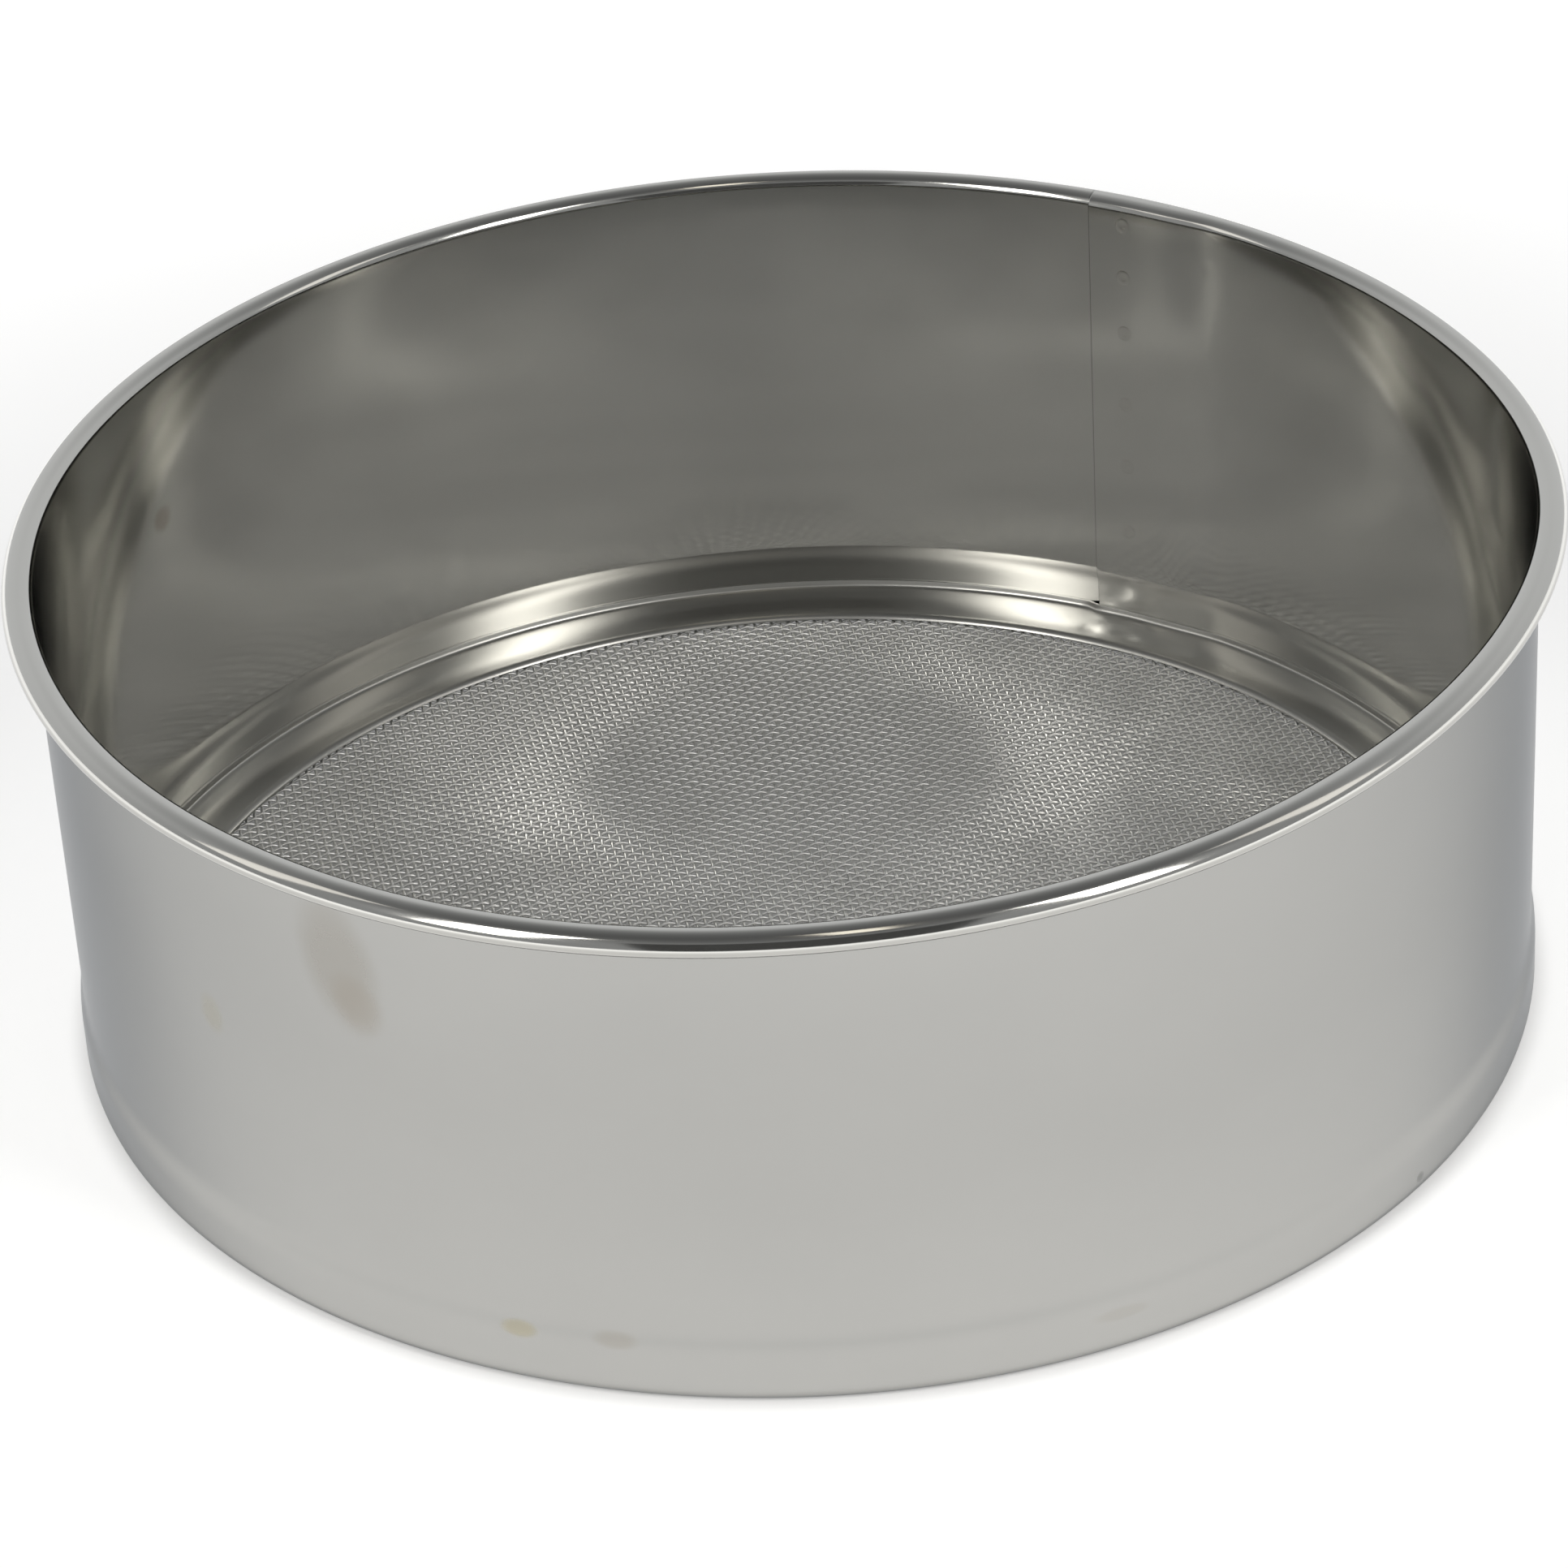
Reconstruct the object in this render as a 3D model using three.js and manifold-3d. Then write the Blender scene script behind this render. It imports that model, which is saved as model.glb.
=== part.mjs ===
// A round drum sieve for flour: a steel hoop with a wired rim, a wire screen and the ring that clamps it.
// Millimetres, +Z up. The origin is on the table, on the axis of the hoop.
import * as THREE from "three";
import { mergeVertices } from "three/addons/utils/BufferGeometryUtils.js";
import Module from "manifold-3d";

// Overall size
const RIM_DIAMETER = 200; // across the outside of the rolled rim
const HEIGHT = 70; // from the table to the top of the rim

// Hoop sheet
const HOOP_SHEET = 0.5; // thickness of the steel strip
const RIM_OVERHANG = 3.5; // rolled rim beyond the outer wall
const RIM_INNER_BEND = 1.15; // first bend out of the wall, at the middle of the sheet
const RIM_OUTER_BEND = 0.85; // last bend, at the outer edge of the rim
const RIM_TURNS = [180, 123, 16, -100]; // degrees at which the rim's three bends start and end
const RIM_WIRE = 1.9; // diameter of the stiffening wire

// Pressed band at the foot of the hoop
const FOOT_STEP = 0.6; // how far the foot stands out from the wall
const FOOT_HEIGHT = 6; // height of the full step
const FOOT_BLEND = 5; // height over which the step runs out into the wall
const FOOT_RADIUS = 1.8; // outside radius of the bottom edge
const FLANGE_WIDTH = 5; // turned-in flange that carries the screen

// Lapped seam of the strip
const SEAM_AZIMUTH = 61.3; // degrees from +X to the edge that shows inside
const SEAM_LAP = 11.2; // width of the overlap along the wall
const SEAM_BITE = 0.05; // depth to which the welds sink one sheet into the other

// Wire screen, drawn with one bar for each band of wires
const SCREEN_WIRE = 0.45; // diameter of one wire
const SCREEN_BAR = 1.7; // width of a drawn bar
const SCREEN_PITCH = 11; // from bar to bar
const SCREEN_TURN = 10.5; // degrees from +X to the bars

// Clamp ring: a nearly flat band with a lip turned down to the screen and an outer edge turned up along the wall
const RING_SHEET = 0.4; // thickness of the ring's sheet
const RING_WIDTH = 8.2; // from the lip to the outer edge, at the middle of the sheet
const RING_LIP_WIDTH = 0.7; // width of the rounded lip
const RING_LIP_HEIGHT = 0.35; // how far the lip is turned down
const RING_RISE = 0.35; // how much higher the band lies at the wall than at the lip
const RING_CORNER = 0.55; // bend between the band and the outer edge
const RING_EDGE = 0.45; // straight part of the outer edge

// Clearance between neighbouring pieces
const CLEARANCE = 0.15;

// Facets
const TURN_STEPS = 60; // around the axis
const ARC_STEPS = 4; // along each curve, doubled on a round bend
const WIRE_SIDES = 8; // around the rim wire

// Radii and heights that follow from the sizes above
const wallOuter = RIM_DIAMETER / 2 - RIM_OVERHANG;
const wallInner = wallOuter - HOOP_SHEET;
const wallMiddle = wallOuter - HOOP_SHEET / 2;
const footMiddle = wallMiddle + FOOT_STEP;
const footOuter = wallOuter + FOOT_STEP;
const footInner = footMiddle - HOOP_SHEET / 2;
const rimWays = RIM_TURNS.map((turn) => {
  const angle = THREE.MathUtils.degToRad(turn);
  return new THREE.Vector2(Math.cos(angle), Math.sin(angle));
});
const rimTopBend =
  (RIM_OVERHANG - RIM_INNER_BEND * (1 + rimWays[1].x) - RIM_OUTER_BEND * (1 - rimWays[2].x)) /
  (rimWays[2].x - rimWays[1].x);
const rimBends = [RIM_INNER_BEND, rimTopBend, RIM_OUTER_BEND];
const rimBottom = HEIGHT - HOOP_SHEET / 2 - RIM_INNER_BEND * rimWays[1].y - rimTopBend * (1 - rimWays[1].y);
const rimWireMiddle = wallOuter + CLEARANCE + RIM_WIRE / 2;
const rimWireHeight = HEIGHT - HOOP_SHEET - 2 * CLEARANCE - RIM_WIRE / 2;
const screenThickness = 2 * SCREEN_WIRE;
const screenBottom = HOOP_SHEET + CLEARANCE;
const screenTop = screenBottom + screenThickness;
const screenRadius = footOuter - FOOT_RADIUS;
const ringEdgeRadius = footInner - CLEARANCE - RING_SHEET / 2;
const ringLipRadius = ringEdgeRadius - RING_WIDTH;
const ringClear = ringLipRadius - RING_SHEET / 2;
const ringLipBottom = screenTop + CLEARANCE;
const ringLipTop = ringLipBottom + RING_LIP_HEIGHT;
const ringCornerHeight = ringLipTop + RING_RISE;
const ringTop = ringCornerHeight + RING_CORNER + RING_EDGE;

const wasm = await Module();
wasm.setup();

// Steel finishes
const steel = (color, roughness) => new THREE.MeshStandardMaterial({ color, roughness, metalness: 1 });
const satinSteel = steel(0xb8b8b3, 0.32);
const polishedSteel = steel(0xc9c8c2, 0.18);
const drawnWire = steel(0xa9a9a6, 0.3);
const screenSteel = steel(0x9c9c99, 0.35);

// A sheet metal section: the line along the middle of the sheet, thickened to a closed outline.
function sheetOutline(middleLine, thickness) {
  const points = middleLine.getPoints(ARC_STEPS);
  const last = points.length - 1;
  const face = (offset) =>
    points.map((point, i) => {
      const along = points[Math.min(i + 1, last)].clone().sub(points[Math.max(i - 1, 0)]).normalize();
      return new THREE.Vector2(point.x - along.y * offset, point.y + along.x * offset);
    });
  return [...face(-thickness / 2), ...face(thickness / 2).reverse()];
}

// Turns a closed outline of radius and height about the vertical axis.
function revolve(outline) {
  return new THREE.LatheGeometry([...outline, outline[0]], TURN_STEPS).rotateX(Math.PI / 2);
}

// A closed geometry as a solid that can be joined and cut.
function solidOf(geometry) {
  const bare = new THREE.BufferGeometry();
  bare.setAttribute("position", geometry.getAttribute("position"));
  bare.setIndex(geometry.getIndex());
  const merged = mergeVertices(bare);
  const vertProperties = merged.getAttribute("position").array;
  const triVerts = new Uint32Array(merged.getIndex().array);
  return new wasm.Manifold(new wasm.Mesh({ numProp: 3, vertProperties, triVerts }));
}

// A joined or cut solid back as a geometry.
function geometryOf(solid) {
  const { vertProperties, triVerts } = solid.getMesh();
  const geometry = new THREE.BufferGeometry();
  geometry.setAttribute("position", new THREE.BufferAttribute(vertProperties, 3));
  geometry.setIndex(new THREE.BufferAttribute(triVerts, 1));
  geometry.computeVertexNormals();
  return geometry;
}

// A flat round plate between two heights.
function plate(radius, bottom, top) {
  const disc = new THREE.CylinderGeometry(radius, radius, top - bottom, TURN_STEPS);
  return solidOf(disc.rotateX(Math.PI / 2).translate(0, 0, (bottom + top) / 2));
}

// The strip's middle line: flange, bottom edge, foot, wall and the three bends of the rim around its wire.
function hoopMiddleLine() {
  const bend = FOOT_RADIUS - HOOP_SHEET / 2;
  const floor = HOOP_SHEET / 2;
  const blendTop = FOOT_HEIGHT + FOOT_BLEND;
  const blendMiddle = FOOT_HEIGHT + FOOT_BLEND / 2;
  const line = new THREE.Path();
  line.moveTo(footOuter - FLANGE_WIDTH, floor);
  line.lineTo(footMiddle - bend, floor);
  line.absarc(footMiddle - bend, floor + bend, bend, -Math.PI / 2, 0, false);
  line.lineTo(footMiddle, FOOT_HEIGHT);
  line.bezierCurveTo(footMiddle, blendMiddle, wallMiddle, blendMiddle, wallMiddle, blendTop);
  line.lineTo(wallMiddle, rimBottom);
  rimBends.forEach((radius, i) => {
    const centre = line.currentPoint.clone().addScaledVector(rimWays[i], -radius);
    const [start, end] = RIM_TURNS.slice(i, i + 2).map(THREE.MathUtils.degToRad);
    line.absarc(centre.x, centre.y, radius, start, end, true);
  });
  return line;
}

// The doubled sheet inside the seam: a second strip inside the first, from the clamp ring up to the rim.
function seamLap(outline) {
  const inside = outline.map((point) => new THREE.Vector2(point.x - HOOP_SHEET + SEAM_BITE, point.y));
  const edge = THREE.MathUtils.degToRad(SEAM_AZIMUTH);
  const hiddenEdge = edge - SEAM_LAP / wallInner;
  const bottom = ringTop + CLEARANCE;
  const wedge = new THREE.Shape();
  wedge.moveTo(0, 0);
  wedge.lineTo(wallOuter * Math.cos(hiddenEdge), wallOuter * Math.sin(hiddenEdge));
  wedge.absarc(0, 0, wallOuter, hiddenEdge, edge, false);
  const settings = { depth: rimBottom - bottom, bevelEnabled: false, curveSegments: ARC_STEPS };
  const window = solidOf(new THREE.ExtrudeGeometry(wedge, settings).translate(0, 0, bottom));
  return solidOf(revolve(inside)).intersect(window);
}

function hoop() {
  const outline = sheetOutline(hoopMiddleLine(), HOOP_SHEET);
  return geometryOf(solidOf(revolve(outline)).add(seamLap(outline)));
}

function rimWire() {
  const section = new THREE.Path();
  section.absarc(rimWireMiddle, rimWireHeight, RIM_WIRE / 2, 0, 2 * Math.PI, false);
  return revolve(section.getSpacedPoints(WIRE_SIDES).slice(0, WIRE_SIDES));
}

// The screen: a clamped margin and square gaps between crossing bars.
function meshScreen() {
  const gap = SCREEN_PITCH - SCREEN_BAR;
  const turn = THREE.MathUtils.degToRad(SCREEN_TURN);
  const reach = Math.ceil(ringClear / SCREEN_PITCH);
  const cutDepth = screenThickness + 2 * CLEARANCE;
  const gaps = [];
  for (let row = -reach; row <= reach; row += 1) {
    for (let column = -reach; column <= reach; column += 1) {
      const centre = new THREE.Vector2(column, row).multiplyScalar(SCREEN_PITCH);
      if (centre.length() < ringClear) {
        const cut = new THREE.BoxGeometry(gap, gap, cutDepth).translate(centre.x, centre.y, 0);
        gaps.push(solidOf(cut.rotateZ(turn).translate(0, 0, (screenBottom + screenTop) / 2)));
      }
    }
  }
  const clear = plate(ringClear, screenBottom - CLEARANCE, screenTop + CLEARANCE);
  const openings = wasm.Manifold.union(gaps).intersect(clear);
  return geometryOf(plate(screenRadius, screenBottom, screenTop).subtract(openings));
}

// The ring's middle line: the lip turned down to the screen, the band and the outer edge turned up along the wall.
function clampRing() {
  const line = new THREE.Path();
  line.moveTo(ringLipRadius, ringLipBottom);
  line.quadraticCurveTo(ringLipRadius, ringLipTop, ringLipRadius + RING_LIP_WIDTH, ringLipTop);
  line.lineTo(ringEdgeRadius - RING_CORNER, ringCornerHeight);
  line.quadraticCurveTo(ringEdgeRadius, ringCornerHeight, ringEdgeRadius, ringCornerHeight + RING_CORNER);
  line.lineTo(ringEdgeRadius, ringTop);
  return revolve(sheetOutline(line, RING_SHEET));
}

// The assembly
const sieve = new THREE.Group();

function addPiece(name, geometry, material) {
  const piece = new THREE.Mesh(geometry, material);
  piece.name = name;
  sieve.add(piece);
}

addPiece("hoop", hoop(), satinSteel);
addPiece("rim_wire", rimWire(), drawnWire);
addPiece("mesh_screen", meshScreen(), screenSteel);
addPiece("clamp_ring", clampRing(), polishedSteel);

export default sieve;
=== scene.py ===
"""Dresses a round drum sieve for flour: smooth sheet steel, a truly woven screen and a plain pale studio.

Sizes are in metres and angles in degrees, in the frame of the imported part: +Z up, the origin on the table,
on the axis of the hoop.
"""

import logging
import math
from dataclasses import dataclass, field
from enum import Enum
from typing import ClassVar, Iterable

import bmesh
import bpy
import numpy as np
from mathutils import Matrix, Vector
from mathutils.geometry import interpolate_bezier


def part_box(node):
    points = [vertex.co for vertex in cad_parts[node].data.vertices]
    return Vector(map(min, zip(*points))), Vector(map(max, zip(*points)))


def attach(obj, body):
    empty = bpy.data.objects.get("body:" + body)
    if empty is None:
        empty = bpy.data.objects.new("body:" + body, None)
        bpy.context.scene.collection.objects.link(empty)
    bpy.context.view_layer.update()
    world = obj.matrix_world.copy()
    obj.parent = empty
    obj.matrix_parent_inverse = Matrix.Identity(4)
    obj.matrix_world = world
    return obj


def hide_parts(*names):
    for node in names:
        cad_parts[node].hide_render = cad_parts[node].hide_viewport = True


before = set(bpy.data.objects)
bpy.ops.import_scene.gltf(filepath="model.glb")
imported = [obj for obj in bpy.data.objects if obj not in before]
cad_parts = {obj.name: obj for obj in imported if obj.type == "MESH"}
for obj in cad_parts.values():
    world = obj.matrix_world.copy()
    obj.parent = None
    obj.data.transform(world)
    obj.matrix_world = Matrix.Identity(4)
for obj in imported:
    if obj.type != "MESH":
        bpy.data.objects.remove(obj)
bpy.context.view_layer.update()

MM = 0.001
BODY = "root"
BAKE_MAP = "OFBake"
MERGE = 0.001 * MM
SHARP_EDGE = 50.0
EDGE_SEGMENTS = 2
Colour = tuple[float, float, float]
RadiusHeight = tuple[float, float]
log = logging.getLogger("sieve")


class Node(Enum):
    """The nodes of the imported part."""

    HOOP = "hoop"
    RIM_WIRE = "rim_wire"
    MESH_SCREEN = "mesh_screen"
    CLAMP_RING = "clamp_ring"


class Slot(Enum):
    """The material slots, by name."""

    HOOP = "hoop_steel"
    WIRE = "wire_steel"
    SCREEN = "screen_steel"
    RING = "ring_steel"


class Way(Enum):
    """The two directions of the screen's wires, by their turn from the weft."""

    WEFT = 0.0
    WARP = 90.0


@dataclass(frozen=True)
class Noise:
    """Cloudy noise: its waves per metre along each axis, and its octaves of finer noise."""

    stretch: tuple[float, float, float]
    detail: float


class Value:
    """A number that changes over a surface: a node's output that takes part in plain arithmetic."""

    def __init__(self, shader: "Shader", socket: bpy.types.NodeSocket) -> None:
        """Wraps one output socket of a shader."""
        self.shader = shader
        self.socket = socket

    def __add__(self, other: "Value | float") -> "Value":
        """This value plus another."""
        return self.shader.maths("ADD", self, other)

    def __radd__(self, other: float) -> "Value":
        """A number plus this value."""
        return self.shader.maths("ADD", other, self)

    def __sub__(self, other: "Value | float") -> "Value":
        """This value less another."""
        return self.shader.maths("SUBTRACT", self, other)

    def __rsub__(self, other: float) -> "Value":
        """A number less this value."""
        return self.shader.maths("SUBTRACT", other, self)

    def __mul__(self, other: "Value | float") -> "Value":
        """This value times another."""
        return self.shader.maths("MULTIPLY", self, other)

    def __rmul__(self, other: float) -> "Value":
        """A number times this value."""
        return self.shader.maths("MULTIPLY", other, self)

    def __truediv__(self, other: "Value | float") -> "Value":
        """This value over another."""
        return self.shader.maths("DIVIDE", self, other)

    def __pow__(self, other: float) -> "Value":
        """This value to a power."""
        return self.shader.maths("POWER", self, other)


class Shader:
    """A node tree that is written as expressions."""

    def __init__(self, tree: bpy.types.NodeTree) -> None:
        """Empties a node tree and takes it over.

        Args:
            tree: The node tree of a material or a world.
        """
        self.tree = tree
        self.tree.nodes.clear()

    def node(
        self,
        kind: str,
        settings: dict | None = None,
        inputs: dict | None = None,
        output: str | int = 0,
    ) -> Value | None:
        """Adds one node.

        Args:
            kind: The node's type, without the ShaderNode that all types start with.
            settings: The node's own properties, set first.
            inputs: Values or links for its sockets, by identifier or name.
            output: The output that is wanted, by identifier, name or place.

        Returns:
            The wanted output, or nothing for a node that has none.
        """
        made = self.tree.nodes.new("ShaderNode" + kind)
        for name, setting in (settings or {}).items():
            setattr(made, name, setting)
        for name, value in (inputs or {}).items():
            self.feed(self.find(made.inputs, name), value)
        return Value(self, self.find(made.outputs, output)) if made.outputs else None

    @staticmethod
    def find(sockets: Iterable[bpy.types.NodeSocket], name: str | int) -> bpy.types.NodeSocket:
        """The socket with an identifier, a name or a place, in that order."""
        if isinstance(name, int):
            return sockets[name]
        named = [socket for socket in sockets if socket.identifier == name]
        return named[0] if named else sockets[name]

    def feed(self, socket: bpy.types.NodeSocket, value: "Value | float | tuple") -> None:
        """Links a value to a socket, or sets a plain number on it."""
        if isinstance(value, Value):
            self.tree.links.new(value.socket, socket)
        else:
            socket.default_value = value

    def maths(self, operation: str, *terms: "Value | float") -> Value:
        """One Math node on up to three terms."""
        places = ("Value", "Value_001", "Value_002")
        return self.node("Math", {"operation": operation}, dict(zip(places, terms)))

    def rise(self, value: Value, start: float, end: float) -> Value:
        """A smooth rise from 0 at start to 1 at end, or a fall where end lies below start."""
        ends = {"Value": value, "From Min": start, "From Max": end}
        return self.node("MapRange", {"interpolation_type": "SMOOTHSTEP"}, ends)

    def mix(self, share: Value, first: "Value | tuple", second: "Value | tuple") -> Value:
        """A colour that goes from the first to the second as share goes from 0 to 1."""
        inputs = {"Factor_Float": share, "A_Color": first, "B_Color": second}
        return self.node("Mix", {"data_type": "RGBA"}, inputs, "Result_Color")

    def place(self) -> tuple[Value, Value, Value, Value]:
        """The point on the surface in the part's frame: the vector, then its three parts in millimetres."""
        point = self.node("TexCoord", output="Object")
        parts = [self.node("SeparateXYZ", inputs={"Vector": point}, output=axis) / MM for axis in "XYZ"]
        return point, *parts

    def noise(self, point: Value, kind: Noise) -> Value:
        """Cloudy noise around 0.5.

        Args:
            point: The point on the surface.
            kind: How coarse and how detailed the noise is.

        Returns:
            The noise, from 0 to 1.
        """
        moved = self.node("VectorMath", {"operation": "MULTIPLY"}, {0: point, 1: kind.stretch})
        inputs = {"Vector": moved, "Scale": 1.0, "Detail": kind.detail}
        return self.node("TexNoise", inputs=inputs, output="Fac")

    def bump(self, height: Value, depth: float) -> Value:
        """A normal that leans as a relief does whose height goes from 0 to 1 over a depth in metres."""
        inputs = {"Strength": 1.0, "Distance": depth, "Height": height}
        return self.node("Bump", inputs=inputs, output="Normal")


def rgba(colour: Colour) -> tuple[float, float, float, float]:
    """A colour with full cover."""
    return (*colour, 1.0)


@dataclass(frozen=True)
class StainOrPaintedShade:
    """A mark on the sheet, a stained spot or a painted shade line, placed by its direction from the axis and
    its height.
    """

    polar: float
    height: float
    half_width: float
    half_height: float
    colour: Colour
    strength: float
    lean: float = 0.0
    ragged: float = 0.5

    FADE: ClassVar[tuple[float, float]] = (1.15, 0.1)

    def cover(self, shader: Shader, x: Value, y: Value, z: Value, cloud: Value) -> Value:
        """How much the mark, a stained spot or painted shade, covers a point.

        Args:
            shader: The material's shader.
            x, y, z: The point, in millimetres.
            cloud: Noise that frays the mark's edge.

        Returns:
            The cover, from 0 to the mark's strength.
        """
        turn = math.radians(self.polar)
        up = z - self.height / MM
        along = y * math.cos(turn) - x * math.sin(turn) - up * self.lean
        facing = shader.rise(x * math.cos(turn) + y * math.sin(turn), 0.0, 1.0)
        spread = (along / (self.half_width / MM)) ** 2 + (up / (self.half_height / MM)) ** 2
        edge = spread + (cloud - 0.5) * 2.0 * self.ragged
        return shader.rise(edge, *self.FADE) * facing * self.strength


@dataclass(frozen=True)
class SheetFinish:
    """Bright rolled stainless sheet, with fine grain along the strip, a cloudy shine, a few stained spots
    and painted shade marks.
    """

    name: str
    colour: Colour
    roughness: float
    edge_tint: Colour = (1.0, 1.0, 1.0)
    cloudy: float = 0.05
    grain: float = 0.02
    stains_and_painted_shade: tuple[StainOrPaintedShade, ...] = ()
    rib_depth: float = 0.0
    rib_pitch: float = 1.0
    rib_turn: float = 0.0
    rib_top: float = 6.5 * MM

    GRAIN: ClassVar[Noise] = Noise((40.0, 40.0, 3000.0), 2.0)
    CLOUD: ClassVar[Noise] = Noise((28.0, 28.0, 40.0), 3.0)
    SMEAR: ClassVar[Noise] = Noise((160.0, 160.0, 160.0), 4.0)
    DARKEST: ClassVar[float] = 0.955
    CLOUD_SHADE: ClassVar[float] = 0.08
    GRAIN_SHADE: ClassVar[float] = 0.01
    STAIN_AND_SHADE_DULLS: ClassVar[float] = 0.12
    RIB_FOCUS: ClassVar[int] = 4
    RIB_FULL: ClassVar[float] = 0.6

    def material(self) -> bpy.types.Material:
        """Makes the finish's material.

        Returns:
            The new material.
        """
        made = bpy.data.materials.new(self.name)
        made.use_nodes = True
        shader = Shader(made.node_tree)
        point, x, y, z = shader.place()
        cloud = shader.noise(point, self.CLOUD)
        smear = shader.noise(point, self.SMEAR)
        grain = shader.noise(point, self.GRAIN)
        shade = self.DARKEST + cloud * self.CLOUD_SHADE + grain * self.GRAIN_SHADE
        inputs = {"Vector": self.colour, "Scale": shade}
        colour = shader.node("VectorMath", {"operation": "SCALE"}, inputs)
        roughness = self.roughness + (cloud - 0.5) * self.cloudy + (grain - 0.5) * self.grain
        # Stained spots, and painted shade along the lap, tint the colour and dull the shine
        for stain_or_painted_shade in self.stains_and_painted_shade:
            cover = stain_or_painted_shade.cover(shader, x, y, z, smear)
            colour = shader.mix(cover, colour, rgba(stain_or_painted_shade.colour))
            roughness = roughness + cover * self.STAIN_AND_SHADE_DULLS
        surface = {"Base Color": colour, "Metallic": 1.0, "Roughness": roughness}
        surface["Specular Tint"] = rgba(self.edge_tint)
        if self.rib_depth:
            surface["Normal"] = shader.bump(self.ribs(shader, x, y, z), self.rib_depth)
        steel = shader.node("BsdfPrincipled", inputs=surface)
        shader.node("OutputMaterial", inputs={"Surface": steel})
        return made

    def ribs(self, shader: Shader, x: Value, y: Value, z: Value) -> Value:
        """The marks that the ends of the screen's wires press through the foot of the hoop.

        Args:
            shader: The material's shader.
            x, y, z: The point, in millimetres.

        Returns:
            The height of the marks, from 0 to 1.
        """
        reach = shader.maths("SQRT", x * x + y * y)
        height = 0.0
        for way in Way:
            turn = math.radians(self.rib_turn + way.value)
            along = x * math.cos(turn) + y * math.sin(turn)
            across = y * math.cos(turn) - x * math.sin(turn)
            square_on = (along / reach) ** self.RIB_FOCUS
            wave = shader.maths("COSINE", across * (math.tau * MM / self.rib_pitch))
            height = square_on * (0.5 + 0.5 * wave) + height
        top = self.rib_top / MM
        return height * shader.rise(z, top, self.RIB_FULL * top)


@dataclass(frozen=True)
class WireFinish:
    """Drawn stainless wire: a shade duller than the sheet, with a little dust and grease along it."""

    name: str
    colour: Colour
    dull: Colour
    roughness: float

    PATCH: ClassVar[Noise] = Noise((70.0, 70.0, 70.0), 3.0)
    SPECK: ClassVar[Noise] = Noise((900.0, 900.0, 900.0), 2.0)
    PATCH_SHARE: ClassVar[float] = 0.6
    DULL_RANGE: ClassVar[tuple[float, float]] = (0.42, 0.66)
    DULL_ROUGHER: ClassVar[float] = 0.08
    SPECK_ROUGHER: ClassVar[float] = 0.06

    def material(self) -> bpy.types.Material:
        """Makes the finish's material.

        Returns:
            The new material.
        """
        made = bpy.data.materials.new(self.name)
        made.use_nodes = True
        shader = Shader(made.node_tree)
        point = shader.place()[0]
        patch = shader.noise(point, self.PATCH)
        speck = shader.noise(point, self.SPECK)
        dust = patch * self.PATCH_SHARE + speck * (1.0 - self.PATCH_SHARE)
        cover = shader.rise(dust, *self.DULL_RANGE)
        colour = shader.mix(cover, rgba(self.colour), rgba(self.dull))
        roughness = self.roughness + cover * self.DULL_ROUGHER + (speck - 0.5) * self.SPECK_ROUGHER
        steel = shader.node(
            "BsdfPrincipled", inputs={"Base Color": colour, "Metallic": 1.0, "Roughness": roughness}
        )
        shader.node("OutputMaterial", inputs={"Surface": steel})
        return made


@dataclass(frozen=True)
class FloorFinish:
    """A matt white table that keeps the sieve's shadow, lifts its white and is clear from below; the lift
    paints light in rings under and round the sieve's foot.
    """

    name: str = "white_table"
    colour: Colour = (0.86, 0.86, 0.86)
    glow: float = 0.01
    # Where each change of the glow starts and ends, by the distance from the axis, and how much it is;
    # besides the white far off it paints light in rings under and round the sieve's foot
    glow_and_painted_light_steps: tuple[tuple[float, float, float], ...] = (
        # Painted light under the foot's flange, which its underside reflects; nearer the axis the glow stays
        # nearly none and the table keeps its shade
        (87.0 * MM, 91.0 * MM, 0.2),
        # Painted light in a ring round the foot, which fills the shade there
        (96.0 * MM, 100.0 * MM, 0.27),
        # That painted light fades outwards
        (102.0 * MM, 150.0 * MM, -0.09),
        # The table's even white far off
        (180.0 * MM, 500.0 * MM, 0.64),
    )

    def material(self) -> bpy.types.Material:
        """Makes the table's material.

        Returns:
            The new material.
        """
        made = bpy.data.materials.new(self.name)
        made.use_nodes = True
        shader = Shader(made.node_tree)
        seen = 0.0
        for kind in ("Is Camera Ray", "Is Glossy Ray", "Is Transmission Ray"):
            seen = shader.node("LightPath", output=kind) + seen
        matt = shader.node("BsdfDiffuse", inputs={"Color": rgba(self.colour)})
        x, y = shader.place()[1:3]
        away = shader.maths("SQRT", x * x + y * y)
        glow = self.glow
        for start, end, change in self.glow_and_painted_light_steps:
            glow = shader.rise(away, start / MM, end / MM) * change + glow
        lift = shader.node("Emission", inputs={"Color": shader.maths("MINIMUM", seen, 1.0) * glow})
        table = shader.node("AddShader", inputs={0: matt, 1: lift})
        below = shader.node("NewGeometry", output="Backfacing")
        clear = shader.node("BsdfTransparent")
        both = shader.node("MixShader", inputs={0: below, 1: table, 2: clear})
        shader.node("OutputMaterial", inputs={"Surface": both})
        return made


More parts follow.
